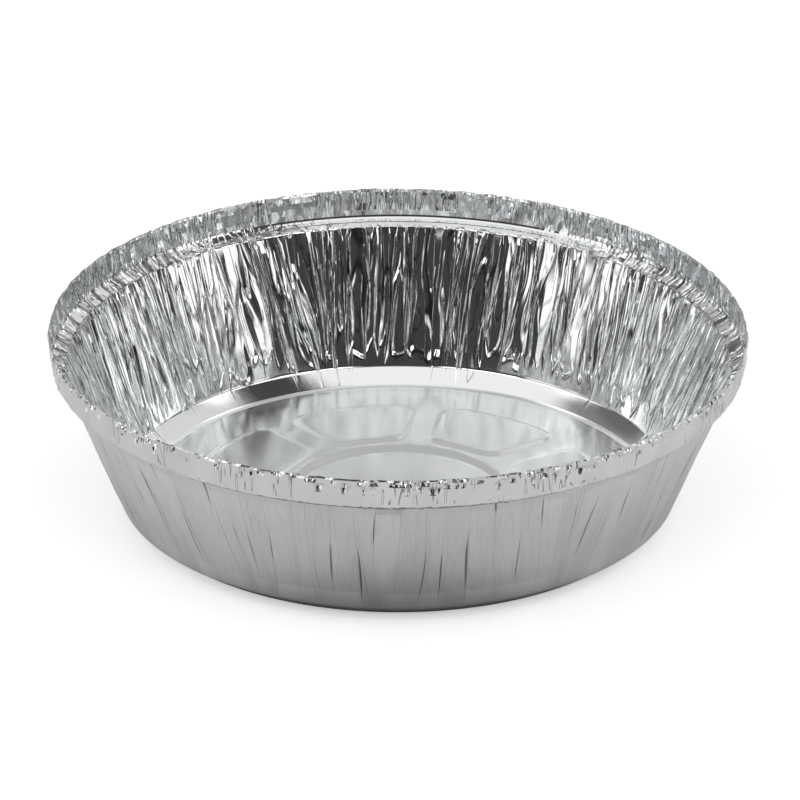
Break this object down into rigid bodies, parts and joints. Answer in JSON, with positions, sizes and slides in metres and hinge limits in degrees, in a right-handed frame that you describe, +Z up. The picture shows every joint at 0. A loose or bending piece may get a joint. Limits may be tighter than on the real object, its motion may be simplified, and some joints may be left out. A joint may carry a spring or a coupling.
{
  "type": "foil pie tin",
  "caption": "Round pleated aluminium foil pie tin with an embossed floor, a ledge for a board lid and an upright crimped flange.",
  "frame": {"origin": "middle of the floor, on the surface that the tin stands on", "axes": "+Z up along the tin's axis, out of its open mouth; the spoke between two panels of the floor lies 9 degrees clockwise from +X, seen from above"},
  "size_m": [0.1842, 0.1842, 0.0492],
  "materials": {
    "foil": "satin rolled foil, bright where it is stretched and creased"
  },
  "bodies": {
    "root": {"tin": "foil"}
  },
  "joints": []
}
